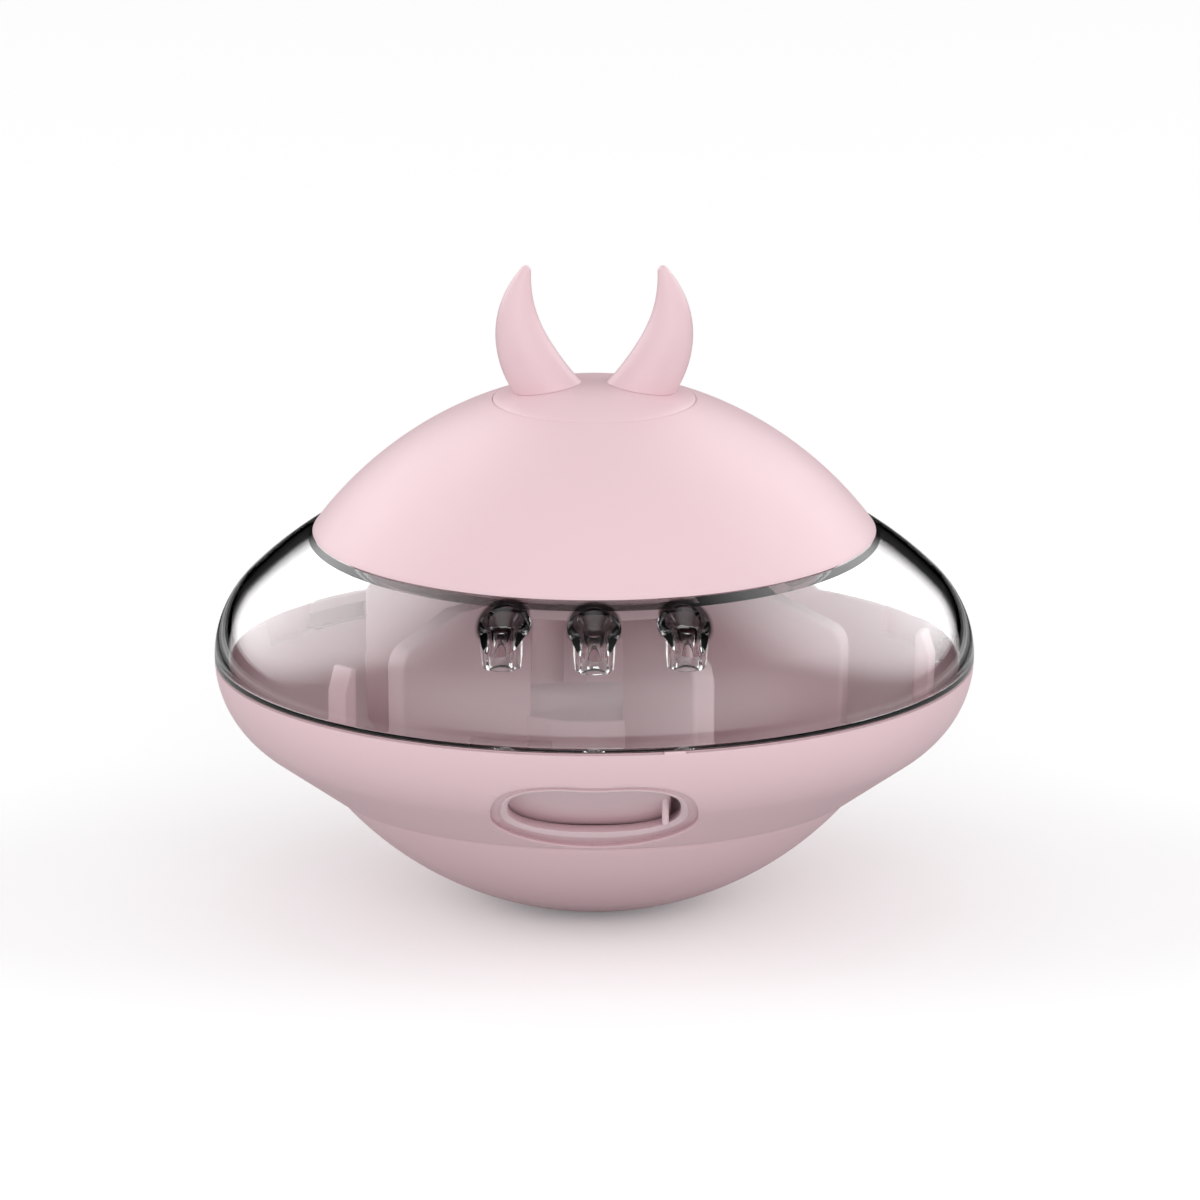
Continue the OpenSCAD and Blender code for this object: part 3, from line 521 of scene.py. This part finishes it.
bowl = {"wall": 2.4, "floorUnder": 18.1, "floorTop": 20.1, "spigotR": 36.9, "edge": 0.25,
        "gapIn": 58.9, "gapOut": 61, "gapLow": 39.08, "gapTop": 41, "markStart": 10.5, "markTurn": 3.2}
tab = {"bearings": (-46.5, 73.5, 193.5), "width": 4.0, "inR": 52.27, "outR": 54.67, "foot": 28.6,
       "top": 47.0, "chamfer": 3.5, "edge": 0.35}
latch = {"bearings": (-13, 107, 227), "turn": 12, "half": 6.5, "slack": 0.5, "inR": 55.57, "outR": 56.57,
         "lugR": 58.07, "low": 35.6, "lugLow": 35.8, "lugHigh": 37.6, "gap": 0.3, "rootZ": 39.55,
         "rootTop": 40.4, "rootR": 57.9, "edge": 0.2,
         "wayIn": 55.5, "wayTop": 45, "wayGrow": 0.1, "grooveIn": 55.6, "grooveShort": 0.4}
recess = {"half": 16.13, "middle": 26.5, "up": 7.2, "down": 6.5, "upPower": 3.2, "downPower": 1.95,
          "cutFront": -72, "cutBack": -33}
lip = {"half": 14.6, "middle": 27.1, "up": 6.0, "down": 5.35, "upPower": 3.2, "downPower": 2.1}
slot = {"half": 13.5, "middle": 28.2, "up": 4.25, "down": 5.05, "upPower": 3.3, "downPower": 2.45}
sag = {"deep": 0.3, "half": 5}                         # the outlines' upper edges sag in the middle


def outletRing(shape, grow, depth, steps=144):         # an outline laid on the bowl's side at a depth
    ring = []
    for i in range(steps):
        a = 2 * math.pi * i / steps
        rising = math.sin(a) >= 0
        power = shape["upPower"] if rising else shape["downPower"]
        wide, tall = shape["half"] + grow, (shape["up"] if rising else shape["down"]) + grow
        reach = (abs(math.cos(a) / wide) ** power + abs(math.sin(a) / tall) ** power) ** (-1 / power)
        x, z = reach * math.cos(a), shape["middle"] + reach * math.sin(a)
        z -= sag["deep"] * math.exp(-(x / sag["half"]) ** 2) * max(math.sin(a), 0)
        ring.append((x, -math.sqrt(bowlRadius(depth, z) ** 2 - x * x), z))
    return ring


def flatRing(ring, y):
    return [(x, y, z) for x, _, z in ring]


outerBowl = bowlLine(0, bodyLine["parting"], bodyLine["seam"])
innerBowl = bowlLine(bowl["wall"], bodyLine["parting"], bowl["floorTop"])
bowlShell = turnPiece("bowlShell", [(0, bowl["floorUnder"]), (bowl["spigotR"], bowl["floorUnder"]),
                                    (bowl["spigotR"], bodyLine["seam"])] + outerBowl[::-1] + innerBowl
                      + [(0, bowl["floorTop"])], steps=192)
roundEdges(bowlShell, bowl["edge"], segments=2)
rimGap = arcBlock("rimGap", bowl["gapIn"], bowl["gapOut"], bowl["gapLow"], bowl["gapTop"], 192,
                  bowl["markStart"] + bowl["markTurn"], 360 - bowl["markTurn"])
carve(bowlShell, rimGap)                               # shadow gap under the cover, with a setting mark
for bearing in tab["bearings"]:
    halfWidth, halfThick = tab["width"] / 2, (tab["outR"] - tab["inR"]) / 2
    post = blockPiece("post", (tab["inR"], -halfWidth, tab["foot"]), (tab["outR"], halfWidth, tab["top"]))
    cutOff(post, ((tab["inR"] + tab["outR"]) / 2, 0, tab["top"]), (tab["chamfer"], 0, halfThick))
    roundEdges(post, tab["edge"])
    swing(post, bearing)
    carve(bowlShell, post, "UNION")
half, out = latch["half"] + latch["slack"], latch["lugR"] + latch["gap"]
low, high = latch["lugLow"] - latch["gap"], latch["lugHigh"] + latch["gap"]
for bearing in latch["bearings"]:                      # the way in of each lug, then the groove it turns in
    carve(bowlShell, arcBlock("way", latch["wayIn"], out + latch["wayGrow"], low - latch["wayGrow"],
                              latch["wayTop"], 14, bearing + latch["turn"] - half, 2 * half))
    carve(bowlShell, arcBlock("groove", latch["grooveIn"], out, low, high, 16, bearing - half,
                              half + latch["turn"] - latch["grooveShort"]))
recessSteps = [(1.0, -0.9), (0.30, -0.02), (0.12, 0.06), (0.02, 0.22), (0.0, 0.6)]   # growth and depth
recessRings = [outletRing(recess, *step) for step in recessSteps]
recessCut = [flatRing(recessRings[0], recess["cutFront"])] + recessRings[1:]
carve(bowlShell, ringPiece("recessCut", recessCut + [flatRing(recessRings[-1], recess["cutBack"])]))
smoothSkin(bowlShell, degrees=28)
fit(bowlShell, shellPink, "bowl_group", "pink_plastic", "bowl")
print("bowl made")

bezelSteps = [(recess, -0.04, 2.4), (recess, -0.04, 1.02), (recess, -0.14, 1.10),   # outline, growth, depth
              (lip, 0.34, 1.14), (lip, 0.20, 1.08), (lip, 0.08, 0.82), (lip, 0.0, 0.70),
              (lip, -0.12, 0.66), (lip, -0.28, 0.72), (slot, 0.24, 0.92), (slot, 0.07, 1.02),
              (slot, 0.0, 1.25), (slot, 0.0, 3.3), (slot, 0.12, 3.45), (recess, -0.04, 3.45),
              (recess, -0.04, 2.4)]
outletBezel = ringPiece("outletBezel", [outletRing(*step) for step in bezelSteps], looped=True)
smoothSkin(outletBezel, degrees=50)
fit(outletBezel, innerPink, "bowl_group", "pink_plastic", "outlet_bezel")
print("bezel made")

gate = {"outer": 3.75, "inner": 5.35, "top": 34.0, "low": 23.0, "left": -18.28, "right": 16.28,
        "edgeX": 11.95, "edge": 0.25, "ribX": 11.1, "ribW": 1.1, "ribFront": 48.75, "ribBack": 36,
        "ribLow": 24.8, "ribTop": 30.0, "ribSink": 0.6, "ribRound": 0.5}
plate = bowlLine(gate["outer"], gate["top"], gate["low"], steps=16)
plate += bowlLine(gate["inner"], gate["top"], gate["low"], steps=16)[::-1]
outletGate = turnPiece("outletGate", plate + plate[:1], 28, gate["left"], gate["right"] - gate["left"])
cutOff(outletGate, (gate["edgeX"], 0, 0), (1, 0, 0))
roundEdges(outletGate, gate["edge"], segments=2)


def ribFoot(height):                                   # just under the gate's face, at the finger rib
    return -math.sqrt(bowlRadius(gate["outer"] + gate["ribSink"], height) ** 2 - gate["ribX"] ** 2)


fingerRib = blockPiece("fingerRib", (gate["ribX"] - gate["ribW"] / 2, -gate["ribFront"], gate["ribLow"]),
                       (gate["ribX"] + gate["ribW"] / 2, -gate["ribBack"], gate["ribTop"]))
rise = gate["ribTop"] - gate["ribLow"]
lean = ribFoot(gate["ribLow"]) - ribFoot(gate["ribTop"])
cutOff(fingerRib, (0, ribFoot(gate["ribLow"]), gate["ribLow"]), (0, rise, lean))
roundEdges(fingerRib, gate["ribRound"], segments=4, degrees=50)
carve(outletGate, fingerRib, "UNION")
smoothSkin(outletGate, degrees=40)
fit(outletGate, innerPink, "gate", "pink_plastic", "outlet_gate")
print("gate made")


# Baffle: a hub with five upright vanes

baffle = {"hubR": 16.0, "hubIn": 14.0, "hubTop": 33.0, "hubThick": 1.8, "hubFoot": 20.1, "hubEdge": 0.6,
          "bearings": (-120.5, -48.5, 24.35, 71.5, 191.5), "vaneR": 41.4, "vaneT": 3.8, "vaneSink": 1,
          "topZ": 51.6, "slopeR": 30.0, "cornerZ": 48.0, "cornerRound": 3.0, "endRound": 2.2,
          "edgeRound": 0.7, "footR": 38.99, "footZ": 20.15, "footLean": 35, "near": 0.1}


def takeEdges(piece, test):                            # in edit mode: selects by the places of both ends
    skin = bmesh.from_edit_mesh(piece.data)
    for edge in skin.edges:
        edge.select = test(edge.verts[0].co / mm, edge.verts[1].co / mm)
    skin.select_flush_mode()
    bmesh.update_edit_mesh(piece.data)


def makeVane(bearing):
    side, near, lean = baffle["vaneT"] / 2, baffle["near"], math.radians(baffle["footLean"])
    vane = blockPiece("vane", (baffle["hubR"] - baffle["vaneSink"], -side, baffle["footZ"]),
                      (baffle["vaneR"], side, baffle["topZ"]))
    run = baffle["vaneR"] - baffle["cornerRound"] - baffle["slopeR"]
    cutOff(vane, (baffle["slopeR"], 0, baffle["topZ"]), (baffle["topZ"] - baffle["cornerZ"], 0, run))
    cutOff(vane, (baffle["footR"], 0, baffle["footZ"]), (math.cos(lean), 0, -math.sin(lean)))
    bpy.ops.object.mode_set(mode="EDIT")
    bpy.ops.mesh.select_mode(type="EDGE")
    end, middle = baffle["vaneR"] - near, (baffle["footZ"] + baffle["topZ"]) / 2
    takeEdges(vane, lambda p, q: min(p.x, q.x) > end and abs(p.z - q.z) < near and p.z > middle)
    bpy.ops.mesh.bevel(offset=baffle["endRound"] * mm, segments=6, affect="EDGES")
    takeEdges(vane, lambda p, q: min(p.x, q.x) > baffle["hubR"] and abs(p.y) > side - near
              and abs(p.y - q.y) < near and max(p.z, q.z) > baffle["footZ"] + near)
    bpy.ops.mesh.bevel(offset=baffle["edgeRound"] * mm, segments=4, affect="EDGES")
    closeSkin()
    bpy.ops.object.mode_set(mode="OBJECT")
    swing(vane, bearing)
    return vane


underTop = baffle["hubTop"] - baffle["hubThick"]
hubLine = [(0, underTop), (baffle["hubIn"], underTop), (baffle["hubIn"], baffle["hubFoot"]),
           (baffle["hubR"], baffle["hubFoot"]), (baffle["hubR"], baffle["hubTop"]), (0, baffle["hubTop"])]
treatBaffle = turnPiece("treatBaffle", hubLine, steps=96)
roundEdges(treatBaffle, baffle["hubEdge"])
for bearing in baffle["bearings"]:
    carve(treatBaffle, makeVane(bearing), "UNION")
smoothSkin(treatBaffle, degrees=40)
fit(treatBaffle, innerPink, "bowl_group", "pink_plastic", "baffle")
print("baffle made")


# Clear cover

cover = {"wall": 2.2, "ledge": 2.0, "ledgeIn": 37.0, "neckR": 31.3, "shoulderLow": 57.5, "shoulderIn": 40.0,
         "footRise": 0.38, "footRun": 0.55, "edge": 0.05, "lidTurn": 35, "notchTurn": 24, "notchIn": 30,
         "notchOut": 32.8, "notchLow": 57, "notchTop": 61}
sideX, sideZ = bodyLine["side"]
inset, slopeTurn = bodyLine["sideR"] - bodyLine["coverR"], math.radians(bodyLine["coverTurn"])
slopeMiddle = (sideX + inset * math.cos(slopeTurn), sideZ + inset * math.sin(slopeTurn))
shoulderTurn = math.degrees(math.acos((bodyLine["lidR"] - slopeMiddle[0]) / bodyLine["coverR"]))
shoulderZ = slopeMiddle[1] + bodyLine["coverR"] * math.sin(math.radians(shoulderTurn))


def coverLine(depth, low, high, steps=22):
    sideR, slopeR = bodyLine["sideR"] - depth, bodyLine["coverR"] - depth
    lowTurn = math.degrees(math.asin((low - sideZ) / sideR))
    highTurn = math.degrees(math.asin((high - slopeMiddle[1]) / slopeR))
    side = arcLine(bodyLine["side"], sideR, lowTurn, bodyLine["coverTurn"], steps)
    return side + arcLine(slopeMiddle, slopeR, bodyLine["coverTurn"], highTurn, steps // 2)[1:]


coverOuter = coverLine(0, bodyLine["parting"], shoulderZ)
coverInner = coverLine(cover["wall"], bodyLine["parting"] + cover["footRise"], cover["shoulderLow"])
ledgeZ = shoulderZ - cover["ledge"]
coverShape = coverOuter + [(cover["neckR"], shoulderZ), (cover["neckR"], ledgeZ),
                           (cover["ledgeIn"], ledgeZ), (cover["shoulderIn"], cover["shoulderLow"])]
coverShape += coverInner[::-1] + [(coverInner[0][0] + cover["footRun"], bodyLine["parting"])]
clearCover = turnPiece("clearCover", coverShape + coverShape[:1], steps=192)
roundEdges(clearCover, cover["edge"], segments=2)
tubeLine = [(0, 49.4), (2.8, 49.4), (2.95, 49.47), (3.03, 49.65),   # flat foot
            (3.1, 50.6), (3.2, 51.6), (3.25, 53.4), (3.4, 54.0),   # stem
            (3.75, 54.55), (4.2, 55.0), (4.55, 55.5), (4.75, 56.2), (4.8, 57.2),   # flare
            (tubes["flareR"], shoulderZ), (0, shoulderZ)]
boreLine = [(0, 40), (1.9, 40), (1.9, 55.6), (2.05, 56.3), (2.4, 57.0), (2.8, 57.6), (3.1, 58.4), (3.1, 66),
            (0, 66)]
under = coverLine(cover["wall"] / 2, bodyLine["parting"] + tubes["trimLow"], shoulderZ - tubes["trimTop"])
underLine = under + [(0, under[-1][1]), (0, under[0][1]), under[0]]
for bearing in tubes["bearings"]:
    spot = onBearing(bearing, tubes["circle"], 0)
    at = (spot.x, spot.y)
    tube = turnPiece("tube", tubeLine, steps=64, axis=at)
    carve(tube, turnPiece("under", underLine, steps=192), "INTERSECT")
    carve(clearCover, tube, "UNION")
    carve(clearCover, turnPiece("bore", boreLine, steps=64, axis=at))
for bearing in thirds:
    start = bearing + cover["lidTurn"] - cover["notchTurn"] / 2
    carve(clearCover, arcBlock("notch", cover["notchIn"], cover["notchOut"], cover["notchLow"],
                               cover["notchTop"], 16, start, cover["notchTurn"]))
smoothSkin(clearCover, degrees=30)
fit(clearCover, clearBand, "cover", "smoky_clear", "clear_cover")

tongueLine = [(latch["inR"], latch["low"]), (latch["outR"], latch["low"]), (latch["outR"], latch["lugLow"]),
              (latch["lugR"], latch["lugLow"]), (latch["lugR"], latch["lugHigh"]),
              (latch["outR"], latch["lugHigh"]), (latch["outR"], latch["rootZ"]),
              (latch["rootR"], latch["rootZ"]), (latch["rootR"], latch["rootTop"]),
              (latch["inR"], latch["rootTop"]), (latch["inR"], latch["low"])]
tongues = []
for bearing in latch["bearings"]:
    tongues.append(turnPiece("tongue", tongueLine, 12, bearing - latch["half"], 2 * latch["half"]))
    roundEdges(tongues[-1], latch["edge"], segments=2, degrees=50)
addTogether(*tongues)
coverTongues = tongues[0]
coverTongues.name = coverTongues.data.name = "coverTongues"
smoothSkin(coverTongues, degrees=30)
fit(coverTongues, clearTongue, "cover", "smoky_clear", "clear_cover")
print("clear cover made")


# Lid: dome, collar and the cap with the horns

dome = {"rimZ": 60.04, "sideR": 60.0, "topR": 48.0, "split": 70.0, "innerSplit": 66, "wall": 2.2,
        "holeR": 16.06, "capR": 16.0, "seatZ": 79.8, "seatR": 13.0, "seatThick": 2.2, "edge": 0.07}
across = (dome["topR"] - dome["sideR"]) * math.cos(math.radians(dome["split"]))
rimAt = math.degrees(math.acos((bodyLine["lidR"] - across) / dome["sideR"]))
domeMiddle = (across, dome["rimZ"] - dome["sideR"] * math.sin(math.radians(rimAt)))
domeTop = (0.0, domeMiddle[1] - (dome["topR"] - dome["sideR"]) * math.sin(math.radians(dome["split"])))
apexZ = domeTop[1] + dome["topR"]
innerRim = math.degrees(math.asin((dome["rimZ"] - domeMiddle[1]) / (dome["sideR"] - dome["wall"])))
holeTurn = math.degrees(math.acos(dome["holeR"] / dome["topR"]))
domeShape = arcLine(domeMiddle, dome["sideR"], rimAt, dome["split"], 36)
domeShape += arcLine(domeTop, dome["topR"], dome["split"], holeTurn, 1)[1:]
domeShape += [(dome["holeR"], dome["seatZ"]), (dome["seatR"], dome["seatZ"]),
              (dome["seatR"], dome["seatZ"] - dome["seatThick"])]
domeShape += arcLine(domeMiddle, dome["sideR"] - dome["wall"], dome["innerSplit"], innerRim, 24)
lidDome = turnPiece("lidDome", domeShape + domeShape[:1], steps=192)
roundEdges(lidDome, dome["edge"], segments=2, degrees=40)
smoothSkin(lidDome)
fit(lidDome, shellPink, "lid", "pink_plastic", "lid_dome")

capTurn = math.degrees(math.acos(dome["capR"] / dome["topR"]))
hornCap = turnPiece("hornCap", [(0, dome["seatZ"]), (dome["capR"], dome["seatZ"])]
                    + arcLine(domeTop, dome["topR"], capTurn, 90, 14), steps=192)
roundEdges(hornCap, dome["edge"], segments=2, degrees=40)
smoothSkin(hornCap)
fit(hornCap, shellPink, "lid", "pink_plastic", "horn_cap")

collar = {"inR": 29.2, "outR": 31.0, "low": shoulderZ - 7.1, "flangeZ": 61.34, "flangeR": 38.36,
          "flangeT": 2.4, "edge": 0.3, "tabTurn": 37.6, "tabTop": 58.4, "cutIn": 28, "cutOut": 33,
          "cutLow": 40, "lugIn": 30, "lugR": 32.2, "lugLow": 55.59, "lugHigh": 57.59, "lugTurn": 20,
          "lugEdge": 0.25}
flangeTop = collar["flangeZ"] + collar["flangeT"]
collarShape = [(collar["inR"], collar["low"]), (collar["outR"], collar["low"]),
               (collar["outR"], collar["flangeZ"]), (collar["flangeR"], collar["flangeZ"]),
               (collar["flangeR"], flangeTop), (collar["inR"], flangeTop)]
lidCollar = turnPiece("lidCollar", collarShape + collarShape[:1], steps=160)
for bearing in thirds:                                 # three tabs hang below the ring
    carve(lidCollar, arcBlock("tabGap", collar["cutIn"], collar["cutOut"], collar["cutLow"],
                              collar["tabTop"], 40, bearing + collar["tabTurn"] / 2,
                              120 - collar["tabTurn"]))
roundEdges(lidCollar, collar["edge"], segments=2)
for bearing in thirds:
    lug = arcBlock("lug", collar["lugIn"], collar["lugR"], collar["lugLow"], collar["lugHigh"], 12,
                   bearing - collar["lugTurn"] / 2, collar["lugTurn"])
    roundEdges(lug, collar["lugEdge"], segments=2)
    carve(lidCollar, lug, "UNION")
smoothSkin(lidCollar)
fit(lidCollar, innerPink, "lid", "pink_plastic", "lid_collar")

horn = {"root": 8.2, "bow": (14.4, 8.5), "tip": (10.8, 18.8), "rootD": 9.5, "tipD": 1.8, "taper": 1.85,
        "start": -0.3, "rings": 26, "sides": 40, "tipTurns": (0.5, 1.0, 1.35, 1.54), "probe": 0.01,
        "gap": 0.05, "seatLow": 50, "seatTurn": 40}


def hornMiddle(t):
    first, bow = Vector((horn["root"], apexZ)), Vector((horn["bow"][0], apexZ + horn["bow"][1]))
    last = Vector((horn["tip"][0], apexZ + horn["tip"][1] - horn["tipD"] / 2))
    return (1 - t) ** 2 * first + 2 * t * (1 - t) * bow + t * t * last


def hornRing(t, radius, ahead=0.0):
    heading = (hornMiddle(t + horn["probe"]) - hornMiddle(t - horn["probe"])).normalized()
    middle = hornMiddle(t) + heading * ahead
    turns = [2 * math.pi * k / horn["sides"] for k in range(horn["sides"])]
    return [(middle.x + radius * math.cos(a) * heading.y, radius * math.sin(a),
             middle.y - radius * math.cos(a) * heading.x) for a in turns]


def makeHorn(name, side):
    steps = [horn["start"] + (1 - horn["start"]) * i / horn["rings"] for i in range(horn["rings"] + 1)]
    thinning = horn["tipD"] - horn["rootD"]
    rings = [hornRing(t, (horn["rootD"] + thinning * max(t, 0) ** horn["taper"]) / 2) for t in steps]
    tipR = horn["tipD"] / 2
    rings += [hornRing(1, tipR * math.cos(a), tipR * math.sin(a)) for a in horn["tipTurns"]]
    piece = ringPiece(name, [[(side * x, y, z) for x, y, z in ring] for ring in rings])
    pick(piece)
    change = piece.modifiers.new("soften", "SUBSURF")
    change.levels = change.render_levels = 1
    bpy.ops.object.modifier_apply(modifier=change.name)
    seat = arcLine(domeTop, dome["topR"] + horn["gap"], horn["seatTurn"], 90, 24)
    seat = [(0, horn["seatLow"]), (seat[0][0], horn["seatLow"])] + seat
    carve(piece, turnPiece("seat", seat, steps=96))
    smoothSkin(piece, degrees=60)
    return piece


fit(makeHorn("hornLeft", -1), shellPink, "lid", "pink_soft", "horn_left")
fit(makeHorn("hornRight", 1), shellPink, "lid", "pink_soft", "horn_right")
print("lid made")


# The pieces that stay as the frame gives them

plainFinish = {"counterweight": weightIron, "weight_washer": screwSteel, "weight_screw": screwSteel,
               "base_screws": screwSteel, "base_plugs": shellPink, "gate_guide": innerPink,
               "baffle_screw": screwSteel, "collar_screws": screwSteel, "lid_seal": sealRubber,
               "cap_retainer": innerPink, "cap_screws": screwSteel}
for node, finish in plainFinish.items():
    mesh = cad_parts[node].data
    mesh.materials.clear()
    mesh.materials.append(finish)
print("frame pieces finished")

bpy.context.view_layer.update()
